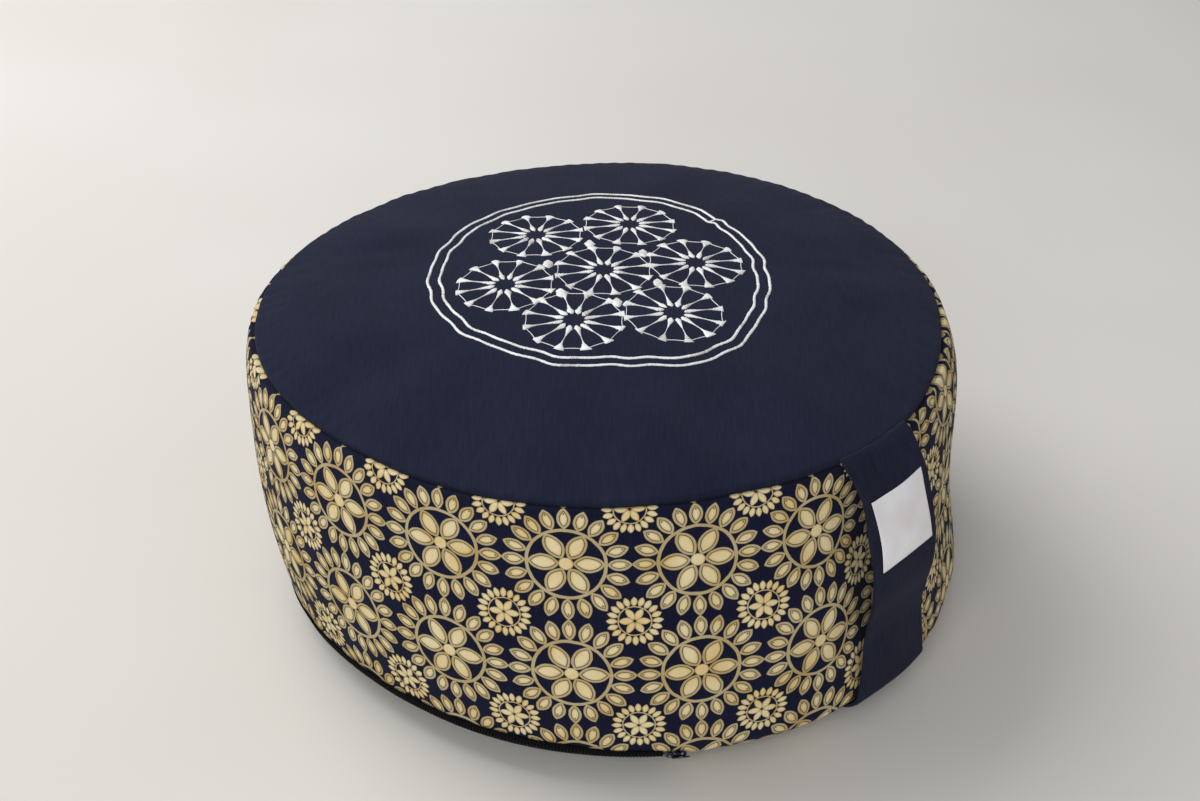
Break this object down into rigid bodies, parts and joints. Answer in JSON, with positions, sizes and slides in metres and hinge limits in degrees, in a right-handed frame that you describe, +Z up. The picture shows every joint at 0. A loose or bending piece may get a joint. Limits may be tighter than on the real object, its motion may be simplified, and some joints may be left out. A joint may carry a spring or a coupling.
{
  "type": "round meditation cushion",
  "caption": "Round filled floor cushion with a crowned top, a bellied side band, a strap handle, a small sewn label and a zip in the base seam.",
  "frame": {"origin": "middle of the flat that the cushion rests on, on the surface under it", "axes": "+Z up through the cushion's thickness, the strap handle on the +X side, so the finger gap behind it runs along Y"},
  "size_m": [0.3602, 0.3453, 0.1565],
  "materials": {
    "top_cloth": "plain navy cotton, matt, fine vertical rib, with silver-white embroidery",
    "strap_cloth": "plain navy cotton, matt, folded to a strap",
    "label_satin": "white woven satin, soft sheen, bare",
    "zip_nylon": "black nylon coil on woven tape",
    "slider_metal": "dark painted metal, worn bright on its edges"
  },
  "bodies": {
    "root": {"cushion": "top_cloth", "handle_strap": "strap_cloth", "label": "label_satin", "zip": "zip_nylon", "zip_slider": "slider_metal"}
  },
  "joints": []
}
